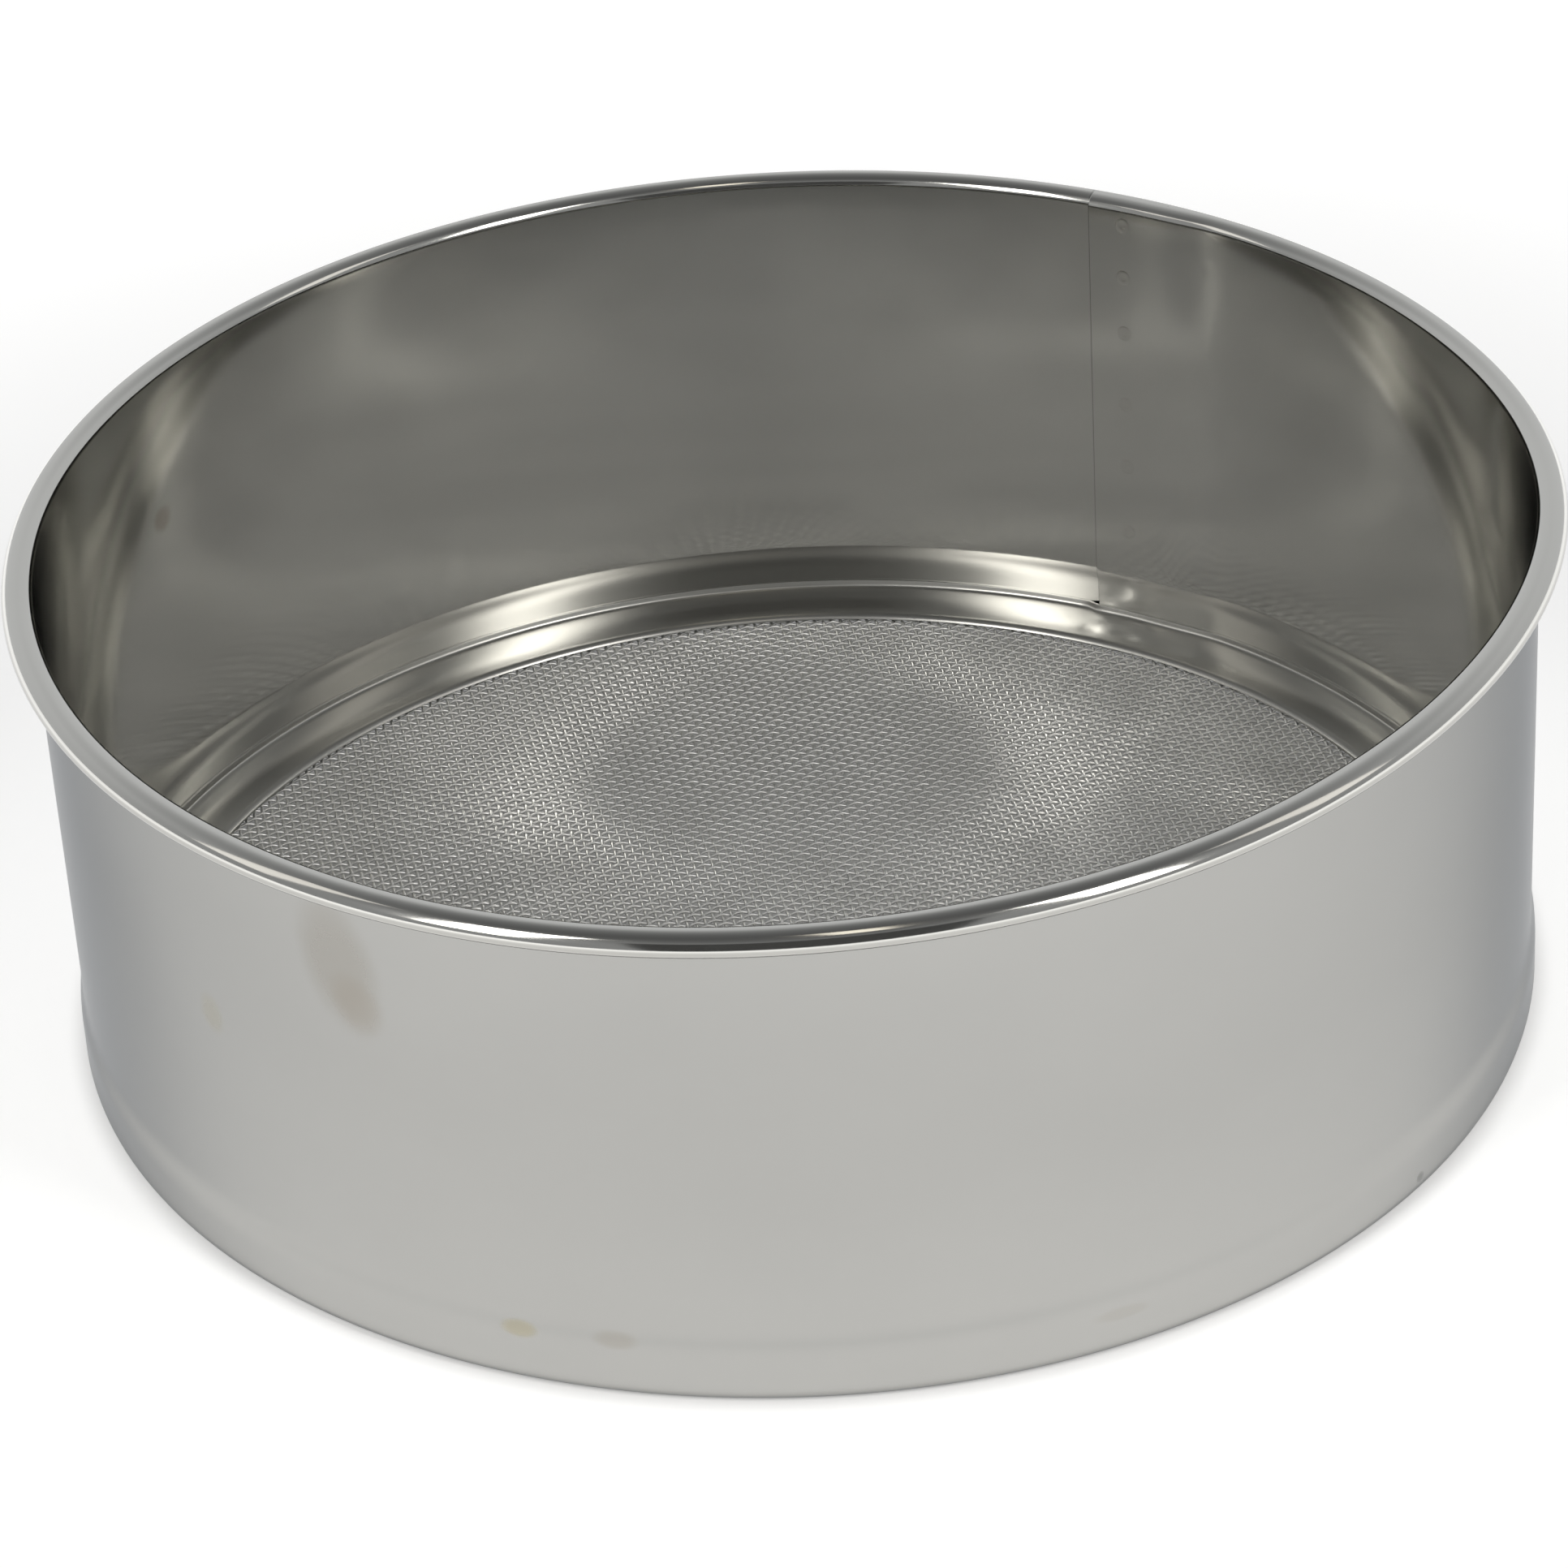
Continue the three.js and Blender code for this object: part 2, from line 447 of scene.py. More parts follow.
class SheetLine:
    """The line along the middle of a bent sheet, in the plane of radius and height."""

    def __init__(self, radius: float, height: float) -> None:
        """Starts the line at a radius and a height."""
        self.points: list[Vector] = [Vector((radius, 0.0, height))]

    def straight(self, radius: float, height: float, pieces: int = 1) -> None:
        """Goes straight on to a point, in some pieces."""
        start = self.points[-1].copy()
        end = Vector((radius, 0.0, height))
        self.points += [start.lerp(end, i / pieces) for i in range(1, pieces + 1)]

    def arc(self, centre: RadiusHeight, bend: float, start: float, end: float, pieces: int) -> None:
        """Goes round an arc.

        Args:
            centre: Radius and height of the arc's centre.
            bend: The arc's radius.
            start, end: Its angles in degrees, from the outward direction upwards.
            pieces: Pieces along it.
        """
        for i in range(1, pieces + 1):
            angle = math.radians(start + (end - start) * i / pieces)
            place = (centre[0] + bend * math.cos(angle), 0.0, centre[1] + bend * math.sin(angle))
            self.points.append(Vector(place))

    def bend(self, radius: float, start: float, end: float, pieces: int) -> None:
        """Bends on round an arc, from the point that the line has reached.

        Args:
            radius: The bend's radius.
            start, end: Its angles in degrees, from the outward direction upwards.
            pieces: Pieces along it.
        """
        angle = math.radians(start)
        last = self.points[-1]
        centre = (last.x - radius * math.cos(angle), last.z - radius * math.sin(angle))
        self.arc(centre, radius, start, end, pieces)

    def curve(self, leave: RadiusHeight, arrive: RadiusHeight, end: RadiusHeight, pieces: int) -> None:
        """Goes along a curve with two handles.

        Args:
            leave, arrive: Radius and height of the handles.
            end: Radius and height of the curve's end.
            pieces: Pieces along it.
        """
        handles = [Vector((radius, 0.0, height)) for radius, height in (leave, arrive, end)]
        self.points += interpolate_bezier(self.points[-1], *handles, pieces + 1)[1:]

    def insides(self) -> list[Vector]:
        """The directions, point by point, to the left of the line, which is the inside of the sieve."""
        last = len(self.points) - 1
        found = []
        for i in range(last + 1):
            along = (self.points[min(i + 1, last)] - self.points[max(i - 1, 0)]).normalized()
            found.append(Vector((-along.z, 0.0, along.x)))
        return found

    def spin(self, start: float, sweep: float, steps: int) -> bmesh.types.BMesh:
        """Turns the line about the axis, which makes its points in order, step by step.

        Args:
            start: Degrees from +X to the first line.
            sweep: Degrees that it turns through, closed on itself at a full turn.
            steps: Steps around.

        Returns:
            The turned surface.
        """
        made = bmesh.new()
        points = [made.verts.new(point) for point in self.points]
        edges = [made.edges.new(pair) for pair in zip(points, points[1:])]
        turn = Matrix.Rotation(math.radians(start), 3, "Z")
        bmesh.ops.rotate(made, verts=points, cent=(0, 0, 0), matrix=turn)
        bmesh.ops.spin(
            made, geom=points + edges, cent=(0, 0, 0), axis=(0, 0, 1),
            angle=math.radians(sweep), steps=steps, use_merge=math.isclose(sweep, 360.0),
        )
        made.verts.index_update()
        return made


def smooth_rise(value: float, start: float, end: float) -> float:
    """A smooth rise from 0 at start to 1 at end."""
    share = min(max((value - start) / (end - start), 0.0), 1.0)
    return share * share * (3.0 - 2.0 * share)


def only_points(geometry: Iterable) -> list[bmesh.types.BMVert]:
    """The points among some geometry."""
    return [item for item in geometry if isinstance(item, bmesh.types.BMVert)]


class SubAssembly:
    """What all sub-assemblies share: making pieces, giving them thickness and tying them to the part."""

    def piece(
        self,
        name: str,
        made: bmesh.types.BMesh,
        slot: Slot,
        node: Node | None,
        *finishes: bpy.types.Material,
    ) -> bpy.types.Object:
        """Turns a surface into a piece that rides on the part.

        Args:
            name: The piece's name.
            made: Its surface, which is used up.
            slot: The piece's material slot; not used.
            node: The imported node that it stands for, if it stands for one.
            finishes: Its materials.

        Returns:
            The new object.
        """
        mesh = bpy.data.meshes.new(name)
        made.to_mesh(mesh)
        made.free()
        mesh.shade_smooth()
        for finish in finishes:
            mesh.materials.append(finish)
        item = bpy.data.objects.new(name, mesh)
        bpy.context.scene.collection.objects.link(item)
        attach(item, BODY)
        if node:
            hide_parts(node.value)
        log.info("%s: %d faces", name, len(mesh.polygons))
        return item

    @staticmethod
    def tidy(made: bmesh.types.BMesh) -> None:
        """Merges doubled points and turns the faces of a turned sheet outwards."""
        bmesh.ops.remove_doubles(made, verts=made.verts, dist=MERGE)
        bmesh.ops.recalc_face_normals(made, faces=made.faces)
        widest = max(made.faces, key=lambda face: face.calc_area())
        if widest.normal.dot(widest.calc_center_median()) < 0.0:
            bmesh.ops.reverse_faces(made, faces=made.faces)

    @staticmethod
    def thicken(item: bpy.types.Object, sheet: float, edge: float) -> None:
        """Gives a surface the thickness of its sheet, half to each side, and rounds the sheet's edges.

        Args:
            item: The surface, with a second material for its inner face.
            sheet: The sheet's thickness.
            edge: The round of its edges.
        """
        wall = item.modifiers.new("sheet", "SOLIDIFY")
        wall.thickness = sheet
        wall.offset = 0.0
        wall.use_quality_normals = True
        wall.material_offset = 1
        wall.material_offset_rim = 1
        soft = item.modifiers.new("edges", "BEVEL")
        soft.limit_method = "ANGLE"
        soft.angle_limit = math.radians(SHARP_EDGE)
        soft.width = edge
        soft.segments = EDGE_SEGMENTS
        soft.profile = 0.5
        soft.harden_normals = True


@dataclass(frozen=True)
class Bulge:
    """A stretch where the hand-bent hoop is out of true at its rim: outwards and upwards, or back."""

    polar: float
    reach: float
    outward: float
    upward: float = 0.0


@dataclass(frozen=True)
class Trueness:
    """How far the hoop is out of true: nothing at the foot, growing up to the rim."""

    low: float = 8.0 * MM
    high: float = 64.0 * MM
    bulges: tuple[Bulge, ...] = (
        Bulge(-114.0, 70.0, 1.5 * MM, -0.85 * MM),
        Bulge(-34.0, 32.0, -0.95 * MM),
        Bulge(6.0, 22.0, 0.3 * MM),
    )

    def shift(self, polar: float, height: float) -> Vector:
        """The shift of a point in the direction +X, before it is turned to its polar angle.

        Args:
            polar: Degrees from +X to the point.
            height: Its height on the true hoop.

        Returns:
            The shift.
        """
        share = smooth_rise(height, self.low, self.high)
        moved = Vector((0.0, 0.0, 0.0))
        for bulge in self.bulges:
            away = (polar - bulge.polar + 180.0) % 360.0 - 180.0
            if abs(away) < bulge.reach:
                swell = math.cos(0.5 * math.pi * away / bulge.reach) ** 2
                moved += Vector((bulge.outward, 0.0, bulge.upward)) * swell * share
        return moved


@dataclass(frozen=True)
class Bend:
    """A bend of the rim: its radius, the angle at which it ends and the pieces along it."""

    radius: float
    end: float
    pieces: int


@dataclass
class Hoop(SubAssembly):
    """The steel strip: flange, pressed foot, straight wall and rolled rim, with its ends lapped."""

    outside: SheetFinish
    inside: SheetFinish
    trueness: Trueness
    rim_radius: float
    height: float
    sheet: float = 0.5 * MM
    overhang: float = 3.5 * MM
    bead_bends: tuple[Bend, ...] = (
        Bend(1.15 * MM, 123.0, 8),
        Bend(1.955 * MM, 16.0, 18),
        Bend(0.85 * MM, -150.0, 14),
    )
    foot_step: float = 0.6 * MM
    foot_height: float = 6.0 * MM
    foot_blend: float = 5.0 * MM
    foot_bend: float = 1.8 * MM
    flange: float = 5.0 * MM
    flange_pieces: int = 2
    foot_bend_pieces: int = 8
    foot_pieces: int = 6
    blend_pieces: int = 10
    wall_pieces: int = 14
    # The lap: the direction of its inner edge, and how the inner end steps over the outer one
    seam: float = 61.3
    lap: float = 11.2 * MM
    joggle: float = 10.0 * MM
    lap_gap: float = 0.02 * MM
    lap_bottom: float = 2.45 * MM
    lap_fade: float = 2.0 * MM
    lap_top_pieces: int = 14
    edge: float = 0.1 * MM
    steps: int = 264

    @property
    def wall(self) -> float:
        """Radius at the middle of the wall's sheet."""
        return self.rim_radius - self.overhang - self.sheet / 2

    @property
    def bead_start(self) -> float:
        """Height at which the wall begins to bend over into the rim."""
        first, second = self.bead_bends[:2]
        share = math.sin(math.radians(first.end))
        return self.height - self.sheet / 2 - first.radius * share - second.radius * (1.0 - share)

    @property
    def lap_steps(self) -> int:
        """Steps that the two ends of the strip overlap by."""
        return round(self.lap / (math.tau * self.wall) * self.steps)

    def line(self) -> SheetLine:
        """The strip's middle line, from the flange to the end of the curl.

        Returns:
            The line.
        """
        half = self.sheet / 2
        foot = self.wall + self.foot_step
        turn = self.foot_bend - half
        blend = self.foot_height + self.foot_blend / 2
        wall_foot = (self.wall, self.foot_height + self.foot_blend)
        line = SheetLine(foot + half - self.flange, half)
        line.straight(foot - turn, half, self.flange_pieces)
        line.arc((foot - turn, half + turn), turn, -90.0, 0.0, self.foot_bend_pieces)
        line.straight(foot, self.foot_height, self.foot_pieces)
        line.curve((foot, blend), (self.wall, blend), wall_foot, self.blend_pieces)
        line.straight(self.wall, self.bead_start, self.wall_pieces)
        before = 180.0
        for bend in self.bead_bends:
            line.bend(bend.radius, before, bend.end, bend.pieces)
            before = bend.end
        return line

    def build(self) -> bpy.types.Object:
        """Bends the strip round, laps its ends and gives it its thickness.

        Returns:
            The hoop.
        """
        line = self.line()
        count = len(line.points)
        insides = line.insides()
        step_turn = 360.0 / self.steps
        start = self.seam - self.lap_steps * step_turn
        made = line.spin(start, 360.0 + self.lap_steps * step_turn, self.steps + self.lap_steps)
        joggle = round(math.degrees(self.joggle / self.wall) / step_turn)
        fade_start = count - 1 - sum(bend.pieces for bend in self.bead_bends)
        lap_end = fade_start + self.lap_top_pieces
        hidden = []
        for vert in made.verts:
            step, place = divmod(vert.index, count)
            low = line.points[place].z
            spin = Matrix.Rotation(math.radians(start + step_turn * step), 3, "Z")
            share = smooth_rise(step, self.steps - joggle, self.steps)
            share *= smooth_rise(low, self.lap_bottom - self.lap_fade, self.lap_bottom)
            share *= 1.0 - smooth_rise(place, fade_start, lap_end)
            vert.co += spin @ insides[place] * (self.sheet + self.lap_gap) * share
            vert.co += spin @ self.trueness.shift(start + step_turn * step, low)
            if step > self.steps and (low < self.lap_bottom or place >= lap_end):
                hidden.append(vert)
        bmesh.ops.delete(made, geom=hidden, context="VERTS")
        self.tidy(made)
        hoop = self.piece(
            "hoop_sheet", made, Slot.HOOP, Node.HOOP, self.outside.material(), self.inside.material()
        )
        self.thicken(hoop, self.sheet, self.edge)
        return hoop


@dataclass
class SpotWelds(SubAssembly):
    """The row of small dished marks that fasten the lap of the hoop."""

    finish: SheetFinish
    face: float
    polar: float = 58.1
    heights: tuple[float, ...] = (66.6 * MM, 58.4 * MM, 49.6 * MM, 38.1 * MM, 28.0 * MM, 17.3 * MM)
    radius: float = 1.2 * MM
    rise: float = 0.035 * MM
    dish: float = 0.007 * MM
    # Shares of the radius: the dish's slope, the crest around it and the skirt that meets the sheet
    slope: float = 0.4
    crest: float = 0.65
    crest_end: float = 0.85
    skirt: float = 0.9
    skirt_end: float = 1.2
    pieces: int = 5
    steps: int = 20

    def line(self) -> SheetLine:
        """The section of one mark, from its middle outwards.

        Returns:
            The line.
        """
        slope = self.slope * self.radius
        crest = self.crest * self.radius
        line = SheetLine(0.0, self.dish)
        line.curve((slope, self.dish), (slope, self.rise), (crest, self.rise), self.pieces)
        line.curve(
            (self.crest_end * self.radius, self.rise),
            (self.skirt * self.radius, 0.0),
            (self.skirt_end * self.radius, -self.dish),
            self.pieces,
        )
        return line

    def build(self) -> bpy.types.Object:
        """Turns one dished mark and sets copies of it up the lap.

        Returns:
            The row of marks.
        """
        made = self.line().spin(0.0, 360.0, self.steps)
        bmesh.ops.remove_doubles(made, verts=made.verts, dist=MERGE)
        bmesh.ops.holes_fill(made, edges=[edge for edge in made.edges if edge.is_boundary])
        bmesh.ops.recalc_face_normals(made, faces=made.faces)
        mark = list(made.verts) + list(made.edges) + list(made.faces)
        turn = Matrix.Rotation(math.radians(self.polar), 4, "Z")
        lean = turn @ Matrix.Rotation(math.radians(-90.0), 4, "Y")
        for height in self.heights:
            copied = bmesh.ops.duplicate(made, geom=mark)["geom"]
            place = turn @ Vector((self.face, 0.0, height))
            bmesh.ops.transform(made, matrix=Matrix.Translation(place) @ lean, verts=only_points(copied))
        bmesh.ops.delete(made, geom=only_points(mark), context="VERTS")
        return self.piece("spot_welds", made, Slot.HOOP, None, self.finish.material())


@dataclass
class RimWire(SubAssembly):
    """The stiff wire inside the rolled rim."""

    finish: WireFinish
    trueness: Trueness
    low: Vector
    high: Vector
    slim: float = 0.05 * MM
    sides: int = 12
    steps: int = 180

    def build(self) -> bpy.types.Object:
        """Turns the wire's round section about the axis.

        Returns:
            The wire.
        """
        radius = (self.high.z - self.low.z) / 2
        centre = (self.high.x - radius, self.low.z + radius)
        line = SheetLine(centre[0] + radius - self.slim, centre[1])
        line.arc(centre, radius - self.slim, 0.0, 360.0, self.sides)
        made = line.spin(0.0, 360.0, self.steps)
        for vert in made.verts:
            polar = 360.0 * (vert.index // len(line.points)) / self.steps
            spin = Matrix.Rotation(math.radians(polar), 3, "Z")
            vert.co += spin @ self.trueness.shift(polar, centre[1])
        self.tidy(made)
        return self.piece("rim_core_wire", made, Slot.WIRE, Node.RIM_WIRE, self.finish.material())


@dataclass(frozen=True)
class Blotch:
    """A weld's rough spot on the clamp ring: where it is and how far it stands up or sinks in."""

    polar: float
    radius: float
    size: float
    rise: float

    FALL: ClassVar[float] = 2.0

    def lift(self, polar: float, radius: float) -> float:
        """How far the spot lifts a point of the ring.

        Args:
            polar: Degrees from +X to the point.
            radius: The point's distance from the axis.

        Returns:
            The lift, below zero where the spot sinks in.
        """
        along = math.radians(polar - self.polar) * radius
        away = math.hypot(along, radius - self.radius) / self.size
        return self.rise * math.exp(-self.FALL * away * away)


@dataclass
class ClampRing(SubAssembly):
    """The ring that holds the screen's edge down: a nearly flat band, with its lip down and its edge up."""

    finish: SheetFinish
    low: Vector
    high: Vector
    sheet: float = 0.4 * MM
    width: float = 8.2 * MM
    lip_width: float = 1.2 * MM
    lip_height: float = 0.55 * MM
    rise: float = 0.35 * MM
    corner: float = 0.75 * MM
    sink: float = 0.12 * MM
    top_sink: float = 0.36 * MM
    # Shares of the lip's and the corner's sizes at which the handles of their curves lie
    lip_leave: tuple[float, float] = (0.1, 0.6)
    lip_arrive: float = 0.45
    corner_leave: tuple[float, float] = (0.3, 0.05)
    corner_arrive: float = 0.4
    corner_end: float = 1.2
    lip_pieces: int = 8
    band_pieces: int = 10
    corner_pieces: int = 8
    top_pieces: int = 2
    edge: float = 0.08 * MM
    steps: int = 480
    # The dent where the ring passes the lap: its depth, its ends and the runs into and out of it
    dent: float = 0.52 * MM
    dent_polar: tuple[float, float] = (54.6, 61.3)
    dent_runs: tuple[float, float] = (6.0, 0.8)
    welds: tuple[Blotch, ...] = (
        Blotch(60.9, 90.6 * MM, 1.3 * MM, 0.2 * MM),
        Blotch(59.2, 91.2 * MM, 1.3 * MM, -0.17 * MM),
        Blotch(56.8, 90.8 * MM, 1.1 * MM, 0.18 * MM),
        Blotch(60.2, 94.6 * MM, 1.3 * MM, -0.17 * MM),
        Blotch(57.8, 94.9 * MM, 1.2 * MM, 0.17 * MM),
        Blotch(55.4, 94.4 * MM, 1.2 * MM, -0.14 * MM),
    )

    def line(self) -> SheetLine:
        """The ring's middle line, from the lip to its top edge, which melts into the wall.

        Returns:
            The line.
        """
        half = self.sheet / 2
        wall = self.high.x - half
        lip = wall - self.width
        lip_top = self.low.z + self.lip_height
        band_end = lip_top + self.rise
        line = SheetLine(lip, self.low.z)
        line.curve(
            (lip + self.lip_leave[0] * self.lip_width, self.low.z + self.lip_leave[1] * self.lip_height),
            (lip + self.lip_arrive * self.lip_width, lip_top),
            (lip + self.lip_width, lip_top),
            self.lip_pieces,
        )
        line.straight(wall - self.corner, band_end, self.band_pieces)
        line.curve(
            (wall - self.corner_leave[0] * self.corner, band_end + self.corner_leave[1] * self.corner),
            (wall, band_end + self.corner_arrive * self.corner),
            (wall + self.sink, band_end + self.corner_end * self.corner),
            self.corner_pieces,
        )
        line.straight(wall + self.top_sink, self.high.z, self.top_pieces)
        return line

    def build(self) -> bpy.types.Object:
        """Turns the ring, dents it where it passes the lap and roughens it with its welds.

        Returns:
            The ring.
        """
        line = self.line()
        count = len(line.points)
        insides = line.insides()
        made = line.spin(0.0, 360.0, self.steps)
        first, last = self.dent_polar
        before, after = self.dent_runs
        for vert in made.verts:
            step, place = divmod(vert.index, count)
            turned = 360.0 * step / self.steps
            spin = Matrix.Rotation(math.radians(turned), 3, "Z")
            radius = line.points[place].x
            share = smooth_rise(turned, first - before, first)
            share *= 1.0 - smooth_rise(turned, last, last + after)
            share *= smooth_rise(radius, self.high.x - self.width / 2, self.high.x - self.corner)
            vert.co -= spin @ Vector((self.dent * share, 0.0, 0.0))
            vert.co += spin @ insides[place] * sum(weld.lift(turned, radius) for weld in self.welds)
        self.tidy(made)
        finish = self.finish.material()
        ring = self.piece("ring_sheet", made, Slot.RING, Node.CLAMP_RING, finish, finish)
        self.thicken(ring, self.sheet, self.edge)
        return ring


@dataclass
class WireScreen(SubAssembly):
    """The plain-woven wire cloth: every wire of it, over one and under the next."""

    finish: WireFinish
    low: Vector
    high: Vector
    turn: float = 10.0
    sides: int = 6
    middle_share: float = 0.265
    pitches: dict[Way, float] = field(
        default_factory=lambda: {Way.WEFT: 1.1 * MM, Way.WARP: 1.25 * MM}
    )
    bands: dict[Way, tuple[str, str, str]] = field(
        default_factory=lambda: {
            Way.WEFT: ("weft_wires_front", "weft_wires_middle", "weft_wires_back"),
            Way.WARP: ("warp_wires_right", "warp_wires_middle", "warp_wires_left"),
        }
    )

    @property
    def wire(self) -> float:
        """Radius of one wire: two wires lie on each other in the height of the cloth."""
        return (self.high.z - self.low.z) / 4

    def long_wire(self, made: bmesh.types.BMesh, waves: int, along: float) -> None:
        """Draws one wire along X, over and under, by pushing its section on a quarter wave at a time.

        Args:
            made: The mesh to draw it in, which is empty.
            waves: Whole waves along it.
            along: The pitch of the wires that it passes over and under.
        """
        facing_x = Matrix.Rotation(math.radians(90.0), 4, "Y")
        flat_up = facing_x @ Matrix.Rotation(math.pi / self.sides, 4, "Z")
        bmesh.ops.create_circle(made, segments=self.sides, radius=self.wire, matrix=flat_up)
        edges = list(made.edges)
        quarters = (self.wire, -self.wire, -self.wire, self.wire)
        for climb in quarters * waves:
            pushed = bmesh.ops.extrude_edge_only(made, edges=edges)["geom"]
            edges = [item for item in pushed if isinstance(item, bmesh.types.BMEdge)]
            bmesh.ops.translate(made, verts=only_points(pushed), vec=(along / 2, 0.0, climb))

    def band(self, rows: range, along: float, across: float) -> bmesh.types.BMesh:
        """Lays the wires of some rows side by side and cuts each off at the round edge of the cloth.

        Args:
            rows: The rows, counted from the middle of the cloth.
            along: The pitch of the wires that they pass over and under.
            across: The pitch of the rows.

        Returns:
            The wires, along X.
        """
        made = bmesh.new()
        waves = 2 * math.ceil(self.high.x / (2.0 * along))
        self.long_wire(made, waves, along)
        start = Vector((along * (rows[0] % 2 - waves), across * (rows[0] + 0.5), 0.0))
        bmesh.ops.translate(made, verts=made.verts, vec=start)
        per_wire = len(made.faces)
        laid = 1
        while laid < len(rows):
            more = min(laid, len(rows) - laid)
            copied = bmesh.ops.duplicate(made, geom=list(made.faces)[: more * per_wire])["geom"]
            shift = (along * (laid % 2), across * laid, 0.0)
            bmesh.ops.translate(made, verts=only_points(copied), vec=shift)
            laid += more
        made.faces.index_update()
        radius = self.high.x - self.wire
        beyond = []
        for face in made.faces:
            row = (rows[face.index // per_wire] + 0.5) * across
            if math.hypot(face.calc_center_median().x, row) > radius:
                beyond.append(face)
        bmesh.ops.delete(made, geom=beyond, context="FACES")
        ends = [edge for edge in made.edges if edge.is_boundary]
        bmesh.ops.holes_fill(made, edges=ends, sides=self.sides)
        bmesh.ops.recalc_face_normals(made, faces=made.faces)
        return made

    @staticmethod
    def lay_map(item: bpy.types.Object) -> None:
        """Lays a flat map over a band of wires, seen from above, for pictures of its finish."""
        mesh = item.data
        points = np.empty(len(mesh.vertices) * 3, np.float32)
        mesh.vertices.foreach_get("co", points)
        corners = np.empty(len(mesh.loops), np.int32)
        mesh.loops.foreach_get("vertex_index", corners)
        flat = points.reshape(-1, 3)[:, :2]
        spread = (flat - flat.min(0)) / np.ptp(flat, axis=0)
        mesh.uv_layers.new(name=BAKE_MAP).data.foreach_set("uv", spread[corners].ravel())

    def build(self) -> list[bpy.types.Object]:
        """Weaves the cloth, in three bands of wires each way.

        Returns:
            The bands.
        """
        finish = self.finish.material()
        middle = Matrix.Translation((0.0, 0.0, (self.low.z + self.high.z) / 2))
        woven = []
        for way, other in zip(Way, reversed(Way)):
            names = self.bands[way]
            along, across = self.pitches[other], self.pitches[way]
            reach = int(self.high.x / across)
            inner = round(reach * self.middle_share)
            cuts = (-reach - 1, -inner, inner, reach + 1)
            turned = middle @ Matrix.Rotation(math.radians(self.turn + way.value), 4, "Z")
            for name, first, last in zip(names, cuts, cuts[1:]):
                made = self.band(range(first, last), along, across)
                bmesh.ops.transform(made, matrix=turned, verts=made.verts)
                wires = self.piece(name, made, Slot.SCREEN, Node.MESH_SCREEN, finish)
                self.lay_map(wires)
                woven.append(wires)
        return woven


@dataclass(frozen=True)
class Softbox:
    """A soft lamp, placed by its direction and distance from the sieve."""

    name: str
    azimuth: float
    radiance: float
    colour: Colour
    elevation: float = 37.0
    distance: float = 1.1
    width: float = 0.24
    height: float = 0.62

    def build(self) -> bpy.types.Object:
        """Makes the lamp, turned to the sieve.

        Returns:
            The lamp.
        """
        lamp = bpy.data.lights.new(self.name, "AREA")
        lamp.shape = "RECTANGLE"
        lamp.size = self.width
        lamp.size_y = self.height
        lamp.energy = self.radiance * math.pi * self.width * self.height
        lamp.color = self.colour
        item = bpy.data.objects.new(self.name, lamp)
        item.matrix_world = facing_in(self.azimuth, self.elevation, self.distance)
        bpy.context.scene.collection.objects.link(item)
        return item


def facing_in(azimuth: float, elevation: float, distance: float) -> Matrix:
    """The placement of something that looks at the origin.

    Args:
        azimuth: Degrees from +X to it.
        elevation: Degrees from the table up to it.
        distance: Metres to it.

    Returns:
        The placement, with -Z along the look.
    """
    turn, rise = math.radians(azimuth), math.radians(elevation)
    away = Vector((math.cos(turn) * math.cos(rise), math.sin(turn) * math.cos(rise), math.sin(rise)))
    return Matrix.Translation(away * distance) @ away.to_track_quat("Z", "Y").to_matrix().to_4x4()


SOFT_WHITE = (1.0, 0.985, 0.955)
CREAM = (1.0, 0.96, 0.9)
AMBER = (1.0, 0.93, 0.8)


